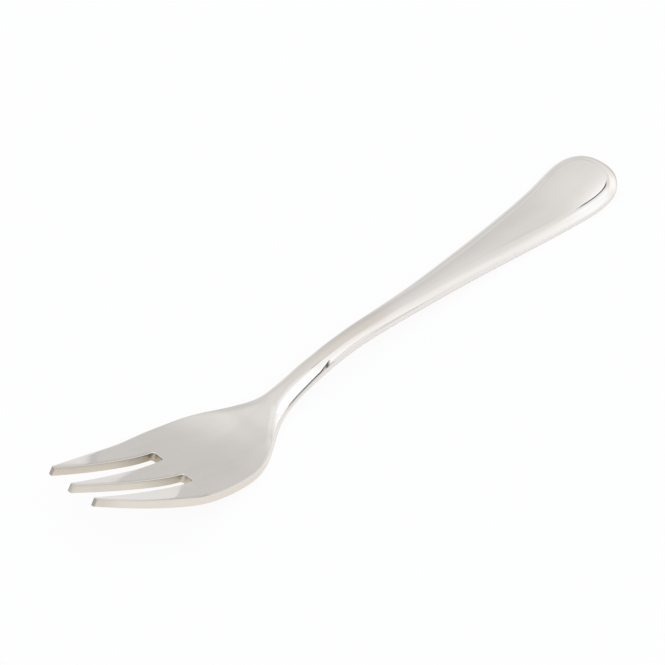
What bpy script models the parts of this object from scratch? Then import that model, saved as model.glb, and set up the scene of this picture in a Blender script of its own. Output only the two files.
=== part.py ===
"""Three-tined pastry fork, blanked and pressed in one piece from stainless sheet.

Sizes are in millimetres. A station is a distance along the fork from the end of its handle.
The half of the blank on one side of the middle plane is laid out flat, given its thickness and
pressed to the fork's profile. Then it is mirrored.
In the finished frame the handle's end lies towards +X, the tine tips towards -X, and the hollow
of the head faces +Z.
"""

import math

import bmesh
import bpy
import numpy as np

METRES_PER_MILLIMETRE = 0.001
LENGTH = 150.0

# Plan of the blank: a blunt pear-shaped end, then the half-width at each station
END_LENGTH = 7.5
END_HALF_WIDTH = 7.55
END_BLUNTNESS = 2.3
HALF_WIDTHS = (
    (END_LENGTH, END_HALF_WIDTH),
    (14.0, 6.9),
    (20.0, 6.17),
    (28.0, 5.28),
    (40.0, 4.05),
    (55.0, 2.92),
    (70.0, 2.33),
    (80.0, 2.3),
    (88.0, 2.52),
    (94.0, 2.8),
    (99.0, 3.9),
    (103.0, 6.08),
    (107.0, 8.4),
    (112.0, 10.2),
    (117.0, 10.8),
    (123.0, 10.9),
    (130.0, 10.1),
    (137.0, 8.95),
    (144.0, 7.45),
    (LENGTH, 5.95),
)

# Profile: height of the underside above the table, which cuts it to a short flat where it dips below
UNDERSIDE = (
    (0.0, 2.1),
    (12.0, 0.05),
    (18.0, -0.05),
    (25.0, 0.3),
    (45.0, 1.75),
    (65.0, 3.4),
    (78.0, 4.3),
    (88.0, 3.6),
    (95.0, 2.25),
    (101.0, 0.6),
    (106.0, -0.15),
    (113.0, 0.5),
    (120.0, 2.25),
    (127.0, 4.75),
    (134.0, 8.45),
    (142.0, 13.3),
    (LENGTH, 18.5),
)

# Section: an upright edge wall, a rounded shoulder above it, a slightly crowned face, and an
# underside that is rounded up to the wall over the same width as the shoulder
FACE_HEIGHT = (
    (0.0, 2.3), (22.0, 2.3), (50.0, 2.45), (66.0, 2.65), (80.0, 2.6), (92.0, 2.65), (107.0, 2.02),
    (LENGTH, 1.75),
)
EDGE_HEIGHT = (
    (0.0, 1.05), (22.0, 1.05), (48.0, 1.35), (66.0, 1.3), (80.0, 1.25), (87.0, 0.95), (93.0, 0.8),
    (96.0, 0.85), (98.5, 1.1), (101.5, 1.75), (104.0, 1.88), (112.0, 1.84), (LENGTH, 1.65),
)
SHOULDER_WIDTH = (
    (0.0, 2.05), (14.0, 2.1), (40.0, 2.2), (52.0, 2.0), (66.0, 1.5), (74.0, 1.15), (81.0, 1.1),
    (86.0, 1.4), (93.0, 2.2), (96.5, 2.0), (100.0, 0.95), (102.0, 0.5), (110.0, 0.4), (LENGTH, 0.35),
)

# How nearly the shoulder is a flat bevel, which has 1, or a round, which has 2, and how it meets the wall
SHOULDER_BEVEL = (
    (0.0, 1.3), (14.0, 1.3), (26.0, 1.5), (48.0, 1.7), (62.0, 1.9), (72.0, 1.8), (82.0, 1.25),
    (94.0, 2.0), (LENGTH, 2.0),
)
SHOULDER_POWER = 0.8
FACE_CROWN = ((0.0, 0.15), (60.0, 0.2), (92.0, 0.15), (104.0, 0.0), (LENGTH, 0.0))
UNDER_ROUNDING = ((0.0, 0.1), (94.0, 0.12), (LENGTH, 0.1))

# Head: how far its sides stand above its middle
DISH = ((0.0, 0.0), (96.0, 0.0), (112.0, 0.3), (124.0, 0.4), (LENGTH, 0.45))

# The two tapered slots that part the tines
SLOT_ROOT = 124.6
SLOT_ROOT_RADIUS = 0.6
SLOT_CENTRE_AT_ROOT = 4.05
SLOT_CENTRE_AT_TIP = 2.85
SLOT_HALF_WIDTH_AT_ROOT = 1.3
SLOT_HALF_WIDTH_AT_TIP = 2.4
OUTER_TINE_SHORTFALL = 0.45

# Facets along and across the blank
END_ROWS = 10
HANDLE_ROWS = 26
HANDLE_ROWS_END = 92.0
HEAD_ROWS = 18
TINE_ROWS = 12
MIDDLE_LANES = 2
SLOT_CORNER_LANES = 3
OUTER_LANES = 4
SHOULDER_LANES = 5

MERGE_DISTANCE = 0.01
SLOPE_STEP = 0.01
SHARP_ANGLE = math.radians(40.0)

STEEL_COLOUR = (0.74, 0.72, 0.69, 1.0)
STEEL_ROUGHNESS = 0.12


def spline(stations, start_slope=None):
    """Cubic spline through (station, value) pairs, free at its ends unless a start slope is given."""
    knots, values = np.array(stations).T
    gaps = np.diff(knots)
    slopes = np.diff(values) / gaps
    count = len(knots)
    system = np.eye(count)
    target = np.zeros(count)
    for index in range(1, count - 1):
        before, after = gaps[index - 1], gaps[index]
        system[index, index - 1:index + 2] = before, 2.0 * (before + after), after
        target[index] = 6.0 * (slopes[index] - slopes[index - 1])
    if start_slope is not None:
        system[0, 0:2] = 2.0 * gaps[0], gaps[0]
        target[0] = 6.0 * (slopes[0] - start_slope)
    bend = np.linalg.solve(system, target)

    def value(station):
        span = np.clip(np.searchsorted(knots, station) - 1, 0, count - 2)
        gap = gaps[span]
        after = station - knots[span]
        before = knots[span + 1] - station
        curved = (bend[span] * before ** 3 + bend[span + 1] * after ** 3) / (6.0 * gap)
        first = (values[span] / gap - bend[span] * gap / 6.0) * before
        last = (values[span + 1] / gap - bend[span + 1] * gap / 6.0) * after
        return curved + first + last

    return value


def ease(stations):
    """Curve through (station, value) pairs that levels out at each of them."""
    knots, values = np.array(stations).T

    def value(station):
        span = np.clip(np.searchsorted(knots, station) - 1, 0, len(knots) - 2)
        share = np.clip((station - knots[span]) / (knots[span + 1] - knots[span]), 0.0, 1.0)
        share = share * share * (3.0 - 2.0 * share)
        return values[span] + (values[span + 1] - values[span]) * share

    return value


half_width = spline(HALF_WIDTHS, start_slope=0.0)
underside = spline(UNDERSIDE)
edge_height = ease(EDGE_HEIGHT)
face_height = ease(FACE_HEIGHT)
shoulder_width = ease(SHOULDER_WIDTH)
shoulder_bevel = ease(SHOULDER_BEVEL)
face_crown = ease(FACE_CROWN)
under_rounding = ease(UNDER_ROUNDING)
dish = ease(DISH)


def slot_edges(station):
    """Distances from the middle plane of the slot's inner and outer side at a station."""
    share = np.clip((station - SLOT_ROOT) / (LENGTH - SLOT_ROOT), 0.0, 1.0)
    centre = SLOT_CENTRE_AT_ROOT + (SLOT_CENTRE_AT_TIP - SLOT_CENTRE_AT_ROOT) * share
    half = SLOT_HALF_WIDTH_AT_ROOT + (SLOT_HALF_WIDTH_AT_TIP - SLOT_HALF_WIDTH_AT_ROOT) * share
    return centre - half, centre + half


def slot_root_line():
    """Shares across the slot, and distances past its root, of the points round the root's two corners."""
    turn = np.linspace(0.0, math.pi / 2.0, SLOT_CORNER_LANES + 1)
    inward = SLOT_ROOT_RADIUS * (1.0 - np.cos(turn)) / (2.0 * SLOT_HALF_WIDTH_AT_ROOT)
    past_root = SLOT_ROOT_RADIUS * (1.0 - np.sin(turn))
    return np.concatenate((inward, 1.0 - inward[::-1])), np.concatenate((past_root, past_root[::-1]))


def rails(station_or_turn, in_end):
    """Plan positions of the outline and of the shoulder's inner line, as (station, half-width) pairs."""
    if in_end:
        along = math.cos(station_or_turn) ** (2.0 / END_BLUNTNESS)
        across = math.sin(station_or_turn) ** (2.0 / END_BLUNTNESS)
        shoulder = float(shoulder_width(END_LENGTH))
        outline = (END_LENGTH * (1.0 - along), END_HALF_WIDTH * across)
        inner = (END_LENGTH - (END_LENGTH - shoulder) * along, (END_HALF_WIDTH - shoulder) * across)
        return outline, inner
    width = float(half_width(station_or_turn))
    return (station_or_turn, width), (station_or_turn, width - float(shoulder_width(station_or_turn)))


def blank_row(outline, inner, kind):
    """Points of one row of the blank from the middle plane out, as (station, across, rise share).

    The rise share is 1 on the face and falls round the shoulder to 0 at the outline. A body row
    runs straight across. The root row bends round the slot's root. In a tine row the points over
    the slot are left out, as None.
    """
    station = inner[0]
    root_share, past_root = slot_root_line()
    if kind == "body":
        slot_inner, slot_outer = np.array(slot_edges(SLOT_ROOT)) * inner[1] / float(half_width(SLOT_ROOT))
        slot_stations = np.full(len(root_share), station)
    else:
        slot_inner, slot_outer = slot_edges(station)
        slot_stations = SLOT_ROOT + past_root
    slot_across = slot_inner + (slot_outer - slot_inner) * root_share

    points = [(station, across, 1.0) for across in np.linspace(0.0, slot_inner, MIDDLE_LANES + 1)]
    for slot_station, across in zip(slot_stations[1:-1], slot_across[1:-1]):
        points.append(None if kind == "tine" else (slot_station, across, 1.0))
    outer_station = station
    if kind == "tine":
        outer_station -= OUTER_TINE_SHORTFALL * (station - SLOT_ROOT) / (LENGTH - SLOT_ROOT)
    for across in np.linspace(slot_outer, inner[1], OUTER_LANES + 1):
        points.append((outer_station, across, 1.0))
    bevel = float(shoulder_bevel(outline[0]))
    for turn in np.linspace(0.0, math.pi / 2.0, SHOULDER_LANES + 1)[1:]:
        reach = math.sin(turn)
        shoulder_station = outer_station + (outline[0] - inner[0]) * reach
        across = inner[1] + (outline[1] - inner[1]) * reach
        points.append((shoulder_station, across, (1.0 - reach ** bevel) ** SHOULDER_POWER))
    return points


def blank_rows():
    """All rows of the blank, from the handle's end to the tine tips."""
    rows = []
    for turn in np.linspace(0.0, math.pi / 2.0, END_ROWS + 1)[:-1]:
        rows.append(blank_row(*rails(turn, in_end=True), "body"))
    handle = np.linspace(END_LENGTH, HANDLE_ROWS_END, HANDLE_ROWS + 1)[:-1]
    head = np.linspace(HANDLE_ROWS_END, SLOT_ROOT, HEAD_ROWS + 1)[:-1]
    for station in np.concatenate((handle, head)):
        rows.append(blank_row(*rails(station, in_end=False), "body"))
    tines = np.linspace(SLOT_ROOT + SLOT_ROOT_RADIUS, LENGTH, TINE_ROWS + 1)
    rows.append(blank_row(*rails(tines[0], in_end=False), "root"))
    for station in tines[1:]:
        rows.append(blank_row(*rails(station, in_end=False), "tine"))
    return rows


def across_share(station, across):
    """Distance from the middle plane as a share of the half-width, which the blunt end keeps."""
    return across / half_width(np.maximum(station, END_LENGTH))


def upper_height(station, across, rise_share):
    """Height of the upper face in the blank: edge wall, shoulder and crown."""
    crown = face_crown(station) * (1.0 - across_share(station, across) ** 2)
    edge = edge_height(station)
    return edge + (face_height(station) - edge) * rise_share + crown


def lower_height(station, across, rise_share):
    """Height of the underside in the blank: level, and rounded up to the edge wall."""
    return under_rounding(station) * (1.0 - rise_share)


def press(station, across, height):
    """Carry points of the blank to the pressed fork.

    Heights stand square to the profile, and the head's sides rise by the dish. Where the profile
    dips to the table the underside is flat. Stations run from +X to -X about the middle.
    """
    rise = underside(station + SLOPE_STEP) - underside(station - SLOPE_STEP)
    slope = np.arctan(rise / (2.0 * SLOPE_STEP))
    along = station - height * np.sin(slope)
    up = underside(station) + height * np.cos(slope) + dish(station) * across_share(station, across) ** 2
    return np.column_stack((LENGTH / 2.0 - along, across, np.maximum(up, 0.0))) * METRES_PER_MILLIMETRE


def shape_side(vertices, height_of):
    """Press the vertices of one side of the blank, whose heights are given by a function."""
    station, across, rise_share = np.array([vertex.co for vertex in vertices]).T
    pressed = press(station, across, height_of(station, across, rise_share))
    for vertex, position in zip(vertices, pressed):
        vertex.co = position


def half_fork_mesh(name):
    """Mesh of the fork's half on one side of its middle plane, open on that plane."""
    half = bmesh.new()
    rows = [[point and half.verts.new(point) for point in row] for row in blank_rows()]
    for row, next_row in zip(rows[:-1], rows[1:]):
        for corners in zip(row[:-1], row[1:], next_row[1:], next_row[:-1]):
            if None not in corners:
                half.faces.new(corners)
    bmesh.ops.remove_doubles(half, verts=half.verts[:], dist=MERGE_DISTANCE)

    upper = half.verts[:]
    thickness = bmesh.ops.extrude_face_region(half, geom=half.faces[:])
    lower = [item for item in thickness["geom"] if isinstance(item, bmesh.types.BMVert)]
    on_middle = [face for face in half.faces if all(vertex.co.y < MERGE_DISTANCE for vertex in face.verts)]
    bmesh.ops.delete(half, geom=on_middle, context="FACES")

    shape_side(upper, upper_height)
    shape_side(lower, lower_height)
    bmesh.ops.recalc_face_normals(half, faces=half.faces[:])
    mesh = bpy.data.meshes.new(name)
    half.to_mesh(mesh)
    half.free()
    return mesh


def polished_steel():
    """Bright stainless steel, slightly warm."""
    material = bpy.data.materials.new("polished_steel")
    material.use_nodes = True
    shader = material.node_tree.nodes["Principled BSDF"]
    shader.inputs["Base Color"].default_value = STEEL_COLOUR
    shader.inputs["Metallic"].default_value = 1.0
    shader.inputs["Roughness"].default_value = STEEL_ROUGHNESS
    return material


def make_fork():
    """The whole fork: the pressed half, mirrored across the middle plane."""
    mesh = half_fork_mesh("fork")
    fork = bpy.data.objects.new("fork", mesh)
    bpy.context.scene.collection.objects.link(fork)
    mesh.materials.append(polished_steel())

    mirror = fork.modifiers.new("other_half", "MIRROR")
    mirror.use_axis = (False, True, False)
    mirror.merge_threshold = MERGE_DISTANCE * METRES_PER_MILLIMETRE

    mesh.shade_smooth()
    mesh.set_sharp_from_angle(angle=SHARP_ANGLE)
    return fork


for leftover in list(bpy.data.objects):
    bpy.data.objects.remove(leftover, do_unlink=True)
make_fork()
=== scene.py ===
"""Looks of a three-tined pastry fork, pressed in one piece from stainless sheet and polished.

The fork lies tines up on a white table top under soft studio light. Sizes in the classes are in
millimetres, and a station is a distance along the fork from the end of its handle. Meshes are in
metres: the handle's end lies towards +X, the tine tips towards -X, and the head's hollow faces +Z.
"""

import logging
import math
from dataclasses import dataclass, fields
from enum import Enum

import bpy
import numpy as np
from mathutils import Matrix, Vector


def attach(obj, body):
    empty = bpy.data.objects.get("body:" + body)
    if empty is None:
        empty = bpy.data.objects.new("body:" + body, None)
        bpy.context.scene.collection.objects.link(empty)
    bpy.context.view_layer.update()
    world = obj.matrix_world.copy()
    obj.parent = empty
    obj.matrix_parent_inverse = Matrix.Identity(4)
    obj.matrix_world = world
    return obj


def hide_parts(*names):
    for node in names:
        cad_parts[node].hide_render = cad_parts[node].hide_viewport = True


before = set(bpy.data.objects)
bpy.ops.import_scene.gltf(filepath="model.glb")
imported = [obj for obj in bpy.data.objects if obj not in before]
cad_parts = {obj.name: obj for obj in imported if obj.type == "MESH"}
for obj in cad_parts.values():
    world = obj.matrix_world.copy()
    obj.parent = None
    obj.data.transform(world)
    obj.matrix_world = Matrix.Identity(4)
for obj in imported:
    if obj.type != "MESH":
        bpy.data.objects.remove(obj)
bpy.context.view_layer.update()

LOG = logging.getLogger("pastry_fork")
METRES_PER_MILLIMETRE = 0.001
PHOTO_SIDE_PX = 665
WELD_TOLERANCE = 1e-8
WHITE = (1.0, 1.0, 1.0)

Pairs = tuple[tuple[float, float], ...]
Colour = tuple[float, float, float]
Size = tuple[float, float, float]
# Where a smooth step starts and ends.
Ramp = tuple[float, float]
# Where a soft-edged stretch starts to rise, has risen, starts to fall and has fallen.
Window = tuple[float, float, float, float]

# Starts and ends of windows that are out of reach, so that a window is open to that side.
FROM_START = (-1000.0, -999.0)
TO_END = (999.0, 1000.0)


class Side(Enum):
    """The two faces of the sheet."""

    UPPER = "upper"
    UNDER = "under"


class Ray(Enum):
    """Kinds of light path, by the names that Blender gives them."""

    CAMERA = "Is Camera Ray"
    GLOSSY = "Is Glossy Ray"
    CLEAR = "Is Transmission Ray"


@dataclass(frozen=True)
class Spline:
    """Curve through (station, value) pairs whose slope and bend carry on from span to span.

    In each span it is a cubic. It is free at its ends, unless it has a start slope.
    """

    pairs: Pairs
    start_slope: float | None = None

    def __call__(self, station: np.ndarray) -> np.ndarray:
        """Value of the curve at each station.

        Args:
            station: Distances along the fork.

        Returns:
            The curve's values there.
        """
        knots, values = np.array(self.pairs).T
        gaps = np.diff(knots)
        slopes = np.diff(values) / gaps
        inner = np.arange(1, len(knots) - 1)
        system = np.eye(len(knots))
        system[inner, inner - 1] = gaps[:-1]
        system[inner, inner] = 2.0 * (gaps[:-1] + gaps[1:])
        system[inner, inner + 1] = gaps[1:]
        target = np.zeros(len(knots))
        target[inner] = 6.0 * np.diff(slopes)
        if self.start_slope is not None:
            system[0, 0:2] = 2.0 * gaps[0], gaps[0]
            target[0] = 6.0 * (slopes[0] - self.start_slope)
        bend = np.linalg.solve(system, target)

        span = np.clip(np.searchsorted(knots, station) - 1, 0, len(gaps) - 1)
        gap = gaps[span]
        after = station - knots[span]
        before = knots[span + 1] - station
        curved = (bend[span] * before**3 + bend[span + 1] * after**3) / (6.0 * gap)
        first = (values[span] / gap - bend[span] * gap / 6.0) * before
        last = (values[span + 1] / gap - bend[span + 1] * gap / 6.0) * after
        return curved + first + last


@dataclass(frozen=True)
class Ease:
    """Curve through (station, value) pairs that levels out at each of them."""

    pairs: Pairs

    def __call__(self, station: np.ndarray) -> np.ndarray:
        """Value of the curve at each station, by a smooth step within each span.

        Args:
            station: Distances along the fork.

        Returns:
            The curve's values there.
        """
        knots, values = np.array(self.pairs).T
        span = np.clip(np.searchsorted(knots, station) - 1, 0, len(knots) - 2)
        share = np.clip((station - knots[span]) / (knots[span + 1] - knots[span]), 0.0, 1.0)
        share = share * share * (3.0 - 2.0 * share)
        return values[span] + (values[span + 1] - values[span]) * share


@dataclass
class Surface:
    """Points, triangles and point values of a mesh in the making."""

    points: np.ndarray
    triangles: np.ndarray
    plan: np.ndarray
    wall: np.ndarray

    @classmethod
    def from_grid(cls, points: np.ndarray, plan: np.ndarray, wall: np.ndarray) -> "Surface":
        """Surface over a grid of points, facing up where columns turn left into rows.

        Args:
            points: Places, rows by columns by 3.
            plan: Blank coordinates, rows by columns by 3.
            wall: Share of edge wall at each point, rows by columns.

        Returns:
            The surface, with two triangles to each cell of the grid.
        """
        rows, columns = wall.shape
        index = np.arange(rows * columns).reshape(rows, columns)
        here, right = index[:-1, :-1].ravel(), index[:-1, 1:].ravel()
        far, left = index[1:, 1:].ravel(), index[1:, :-1].ravel()
        first, second = np.stack((here, right, far), 1), np.stack((here, far, left), 1)
        triangles = np.concatenate((first, second))
        return cls(points.reshape(-1, 3), triangles, plan.reshape(-1, 3), wall.ravel())

    @classmethod
    def joined(cls, parts: list["Surface"]) -> "Surface":
        """One surface of several.

        Args:
            parts: The surfaces.

        Returns:
            All of them, each with its triangles renumbered.
        """
        starts = np.cumsum([0] + [len(part.points) for part in parts[:-1]])
        triangles = [part.triangles + start for part, start in zip(parts, starts)]
        return cls(
            np.concatenate([part.points for part in parts]),
            np.concatenate(triangles),
            np.concatenate([part.plan for part in parts]),
            np.concatenate([part.wall for part in parts]),
        )

    def turned_over(self) -> "Surface":
        """The same surface, facing the other way."""
        return Surface(self.points, self.triangles[:, ::-1], self.plan, self.wall)

    def mirrored(self) -> "Surface":
        """The surface on the other side of the middle plane."""
        across = np.array((1.0, -1.0, 1.0))
        return Surface(self.points * across, self.triangles[:, ::-1], self.plan * across, self.wall)

    def welded(self, tolerance: float) -> "Surface":
        """The surface with points at one place made one, and triangles without area left out.

        Args:
            tolerance: Grid, in metres, on which two points count as one place.

        Returns:
            The closed surface.
        """
        keys = np.round(self.points / tolerance).astype(np.int64)
        _, first, number = np.unique(keys, axis=0, return_index=True, return_inverse=True)
        triangles = number.reshape(-1)[self.triangles]
        a, b, c = triangles.T
        triangles = triangles[(a != b) & (b != c) & (c != a)]
        return Surface(self.points[first], triangles, self.plan[first], self.wall[first])

    def to_object(self, name: str) -> bpy.types.Object:
        """Smooth mesh object at the origin, with its point values as attributes.

        Args:
            name: Name of the object and its mesh.

        Returns:
            The object, linked to the scene.
        """
        mesh = bpy.data.meshes.new(name)
        mesh.vertices.add(len(self.points))
        mesh.vertices.foreach_set("co", self.points.astype(np.float32).ravel())
        count = len(self.triangles)
        mesh.loops.add(3 * count)
        mesh.loops.foreach_set("vertex_index", self.triangles.astype(np.int32).ravel())
        mesh.polygons.add(count)
        mesh.polygons.foreach_set("loop_start", np.arange(0, 3 * count, 3, dtype=np.int32))
        mesh.update(calc_edges=True)
        mesh.validate()
        mesh.shade_smooth()
        plan = mesh.attributes.new("plan", "FLOAT_VECTOR", "POINT")
        plan.data.foreach_set("vector", self.plan.astype(np.float32).ravel())
        wall = mesh.attributes.new("wall", "FLOAT", "POINT")
        wall.data.foreach_set("value", self.wall.astype(np.float32))
        made = bpy.data.objects.new(name, mesh)
        bpy.context.scene.collection.objects.link(made)
        return made


@dataclass(frozen=True)
class RimPath:
    """The fork's half outline, point by point, with the rounding that the rim has there.

    Each array runs from the handle's end along the outer side, round the outer tine, through the
    slot and round the middle tine to its tip. Inner points lie on the edge of the sheet's faces.
    """

    inner: np.ndarray
    outline: np.ndarray
    drop: np.ndarray
    lift: np.ndarray
    bevel: np.ndarray

    @classmethod
    def joined(cls, parts: list["RimPath"]) -> "RimPath":
        """One path of several that follow on each other."""
        names = [field.name for field in fields(cls)]
        return cls(*(np.concatenate([getattr(part, name) for part in parts]) for name in names))


@dataclass
class Fork:
    """The fork: a blank with tapered slots, rounded at its rims and pressed to its profile."""

    length: float = 150.0
    end_length: float = 7.5
    end_half_width: float = 7.55
    end_bluntness: float = 2.3
    half_width: Spline = Spline(
        (
            (7.5, 7.55), (14.0, 6.9), (20.0, 6.17), (28.0, 5.28), (40.0, 4.05),
            (55.0, 2.92), (70.0, 2.33), (80.0, 2.3), (88.0, 2.52), (94.0, 2.8),
            (99.0, 3.9), (103.0, 6.08), (107.0, 8.4), (112.0, 10.2), (117.0, 10.8),
            (123.0, 10.9), (130.0, 10.1), (137.0, 8.95), (144.0, 7.45), (150.0, 5.95),
        ),
        start_slope=0.0,
    )
    underside: Spline = Spline(
        (
            (0.0, 2.1), (12.0, 0.05), (18.0, -0.05), (25.0, 0.3), (45.0, 1.75), (65.0, 3.4),
            (78.0, 4.3), (88.0, 3.6), (95.0, 2.25), (101.0, 0.6), (106.0, -0.15), (113.0, 0.5),
            (120.0, 2.25), (127.0, 4.75), (134.0, 8.45), (142.0, 13.3), (150.0, 18.5),
        )
    )
    sheet_height: Ease = Ease(
        ((0.0, 2.3), (22.0, 2.3), (50.0, 2.45), (66.0, 2.65), (80.0, 2.6), (92.0, 2.65),
         (107.0, 2.02), (150.0, 1.75))
    )
    edge_height: Ease = Ease(
        ((0.0, 1.05), (22.0, 1.05), (48.0, 1.35), (66.0, 1.3), (80.0, 1.25), (87.0, 0.95),
         (93.0, 0.8), (96.0, 0.85), (98.5, 1.1), (101.5, 1.75), (104.0, 1.88), (112.0, 1.84),
         (150.0, 1.65))
    )
    shoulder_width: Ease = Ease(
        ((0.0, 1.55), (6.0, 2.1), (14.0, 2.15), (40.0, 2.2), (52.0, 2.0), (66.0, 1.5),
         (74.0, 1.15), (81.0, 1.1), (86.0, 1.4), (93.0, 2.2), (96.5, 2.0), (100.0, 0.95),
         (102.0, 0.5), (110.0, 0.4), (150.0, 0.35))
    )
    face_crown: Ease = Ease(((0.0, 0.15), (60.0, 0.2), (92.0, 0.15), (104.0, 0.0), (150.0, 0.0)))
    under_rounding: Ease = Ease(((0.0, 0.1), (94.0, 0.12), (150.0, 0.1)))
    dish: Ease = Ease(((0.0, 0.0), (96.0, 0.0), (112.0, 0.3), (124.0, 0.4), (150.0, 0.45)))
    slot_root: float = 124.6
    slot_root_radius: float = 0.6
    slot_centre: tuple[float, float] = (4.05, 2.85)
    slot_half_width: tuple[float, float] = (1.3, 2.4)
    outer_tine_shortfall: float = 0.45
    shoulder_bevel: Ease = Ease(
        ((0.0, 1.5), (14.0, 1.45), (26.0, 1.5), (48.0, 1.7), (62.0, 1.9), (72.0, 1.8),
         (82.0, 1.25), (94.0, 2.0), (150.0, 2.0))
    )
    shoulder_power: float = 0.8
    plain_bevel: float = 2.0
    rim_break: float = 0.12
    wall_sharpness: float = 24.0
    root_row_gap: float = 0.4
    end_rows: int = 28
    handle_rows: int = 112
    head_rows: int = 64
    tine_rows: int = 50
    handle_rows_end: float = 92.0
    middle_lanes: int = 8
    corner_lanes: int = 5
    root_lanes: int = 6
    outer_lanes: int = 14
    corner_turns: int = 5
    shoulder_turns: int = 14
    wall_steps: int = 4
    under_turns: int = 7
    slope_step: float = 0.01

    def slot_edges(self, station: np.ndarray) -> tuple[np.ndarray, np.ndarray]:
        """Distances of the slot's sides from the middle plane, straight from root to tip.

        Args:
            station: Distances along the fork.

        Returns:
            The distances of the inner side and of the outer side.
        """
        share = np.clip((station - self.slot_root) / (self.length - self.slot_root), 0.0, 1.0)
        centre = self.slot_centre[0] + (self.slot_centre[1] - self.slot_centre[0]) * share
        half = self.slot_half_width[0] + (self.slot_half_width[1] - self.slot_half_width[0]) * share
        return centre - half, centre + half

    def across_share(self, station: np.ndarray, across: np.ndarray) -> np.ndarray:
        """Distance from the middle as a share of the half-width, which the blunt end keeps."""
        return across / self.half_width(np.maximum(station, self.end_length))

    def face_height(self, station: np.ndarray, across: np.ndarray) -> np.ndarray:
        """Height of the upper face in the blank: the sheet and its crown."""
        crown = self.face_crown(station) * (1.0 - self.across_share(station, across) ** 2)
        return self.sheet_height(station) + crown

    def press(self, station: np.ndarray, across: np.ndarray, height: np.ndarray) -> np.ndarray:
        """Carry points of the flat blank to the pressed fork.

        Heights stand square to the profile, so a point moves along by its height times the sine of
        the profile's slope, and up by the height times the cosine. The head's sides rise with the
        square of their distance from the middle. Where the profile dips below the table, the
        underside is flat.

        Args:
            station: Distances along the blank.
            across: Distances from the middle plane.
            height: Heights above the blank's underside.

        Returns:
            Places in metres, with a last axis of x, y and z.
        """
        step = self.slope_step
        rise = self.underside(station + step) - self.underside(station - step)
        slope = np.arctan(rise / (2.0 * step))
        along = station - height * np.sin(slope)
        sides = self.dish(station) * self.across_share(station, across) ** 2
        up = np.maximum(self.underside(station) + height * np.cos(slope) + sides, 0.0)
        return np.stack((self.length / 2.0 - along, across, up), -1) * METRES_PER_MILLIMETRE

    def tine_start(self) -> float:
        """Station from which the slots' sides are straight."""
        return self.slot_root + self.slot_root_radius

    def outer_station(self, station: np.ndarray) -> np.ndarray:
        """Stations of the outer tine, which ends a little short of the middle one."""
        past = np.maximum(station - self.tine_start(), 0.0)
        return station - self.outer_tine_shortfall * past / (self.length - self.tine_start())

    def face_half_width(self, station: np.ndarray) -> np.ndarray:
        """Half-width of the face inside the shoulder's inner line."""
        return self.half_width(station) - self.shoulder_width(station)

    def end_rails(self) -> tuple[np.ndarray, np.ndarray]:
        """Inner line and outline of the blunt end, which are powers of a cosine and a sine.

        Returns:
            Two arrays of (station, across) points, from the middle plane round to the side.
        """
        turn = np.linspace(0.0, math.pi / 2.0, self.end_rows + 1)[:-1]
        along = np.cos(turn) ** (2.0 / self.end_bluntness)
        across = np.sin(turn) ** (2.0 / self.end_bluntness)
        shoulder = float(self.shoulder_width(np.array(self.end_length)))
        inner = np.stack((self.end_length - (self.end_length - shoulder) * along,
                          (self.end_half_width - shoulder) * across), -1)
        outline = np.stack((self.end_length * (1.0 - along), self.end_half_width * across), -1)
        return inner, outline

    def body_stations(self) -> np.ndarray:
        """Stations of the straight rows between the blunt end and the slots' roots.

        Returns:
            The stations, closer together on the head than on the handle.
        """
        handle = np.linspace(self.end_length, self.handle_rows_end, self.handle_rows + 1)[:-1]
        last = self.slot_root - self.rim_break - self.root_row_gap
        return np.concatenate((handle, np.linspace(self.handle_rows_end, last, self.head_rows)))

    def tine_stations(self) -> np.ndarray:
        """Stations of the tines' rows, from the round of the slots' roots to the tips' rims."""
        return np.linspace(self.tine_start(), self.length - self.rim_break, self.tine_rows)

    def root_line(self, inset: float) -> np.ndarray:
        """The slot's root as (station, across) points: two round corners and a straight between.

        Args:
            inset: How far the line lies outside the slot.

        Returns:
            The points, from the middle tine's side to the outer tine's side.
        """
        start = np.array(self.tine_start())
        near, far = self.slot_edges(start)
        radius = self.slot_root_radius
        turn = np.linspace(0.0, math.pi / 2.0, self.corner_lanes + 1)
        station = start - (radius + inset) * np.sin(turn)
        reach = radius - (radius + inset) * np.cos(turn)
        straight = np.linspace(near + radius, far - radius, self.root_lanes + 1)[1:-1]
        across = np.concatenate((near + reach, straight, (far - reach)[::-1]))
        level = np.full(len(straight), start - radius - inset)
        return np.stack((np.concatenate((station, level, station[::-1])), across), -1)

    def body_plan(self) -> np.ndarray:
        """Plan of the face from the handle's end to the slots' roots.

        Each row has lanes that run on into the middle tine, lanes that end at the slot's root and
        lanes that run on into the outer tine. The last row bends round the root.

        Returns:
            Rows by columns by (station, across).
        """
        inner, _ = self.end_rails()
        stations = self.body_stations()
        root = self.root_line(self.rim_break)
        station = np.concatenate((inner[:, 0], stations))
        width = np.concatenate((inner[:, 1], self.face_half_width(stations)))
        start = np.array(self.tine_start())
        root_width = self.face_half_width(start)
        lanes = np.concatenate((
            np.linspace(0.0, root[0, 1], self.middle_lanes + 1)[:-1],
            root[:, 1],
            np.linspace(root[-1, 1], root_width, self.outer_lanes + 1)[1:],
        ))
        across = width[:, None] * (lanes / root_width)[None, :]
        rows = np.stack((np.broadcast_to(station[:, None], across.shape), across), -1)
        last_station = np.full(len(lanes), start)
        last_station[self.middle_lanes:self.middle_lanes + len(root)] = root[:, 0]
        return np.concatenate((rows, np.stack((last_station, lanes), -1)[None]))

    def middle_tine_plan(self) -> np.ndarray:
        """Plan of the middle tine's half face.

        Returns:
            Rows by columns by (station, across).
        """
        station = self.tine_stations()
        inner, _ = self.slot_edges(station)
        share = np.linspace(0.0, 1.0, self.middle_lanes + 1)
        across = (inner - self.rim_break)[:, None] * share[None, :]
        return np.stack((np.broadcast_to(station[:, None], across.shape), across), -1)

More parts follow.
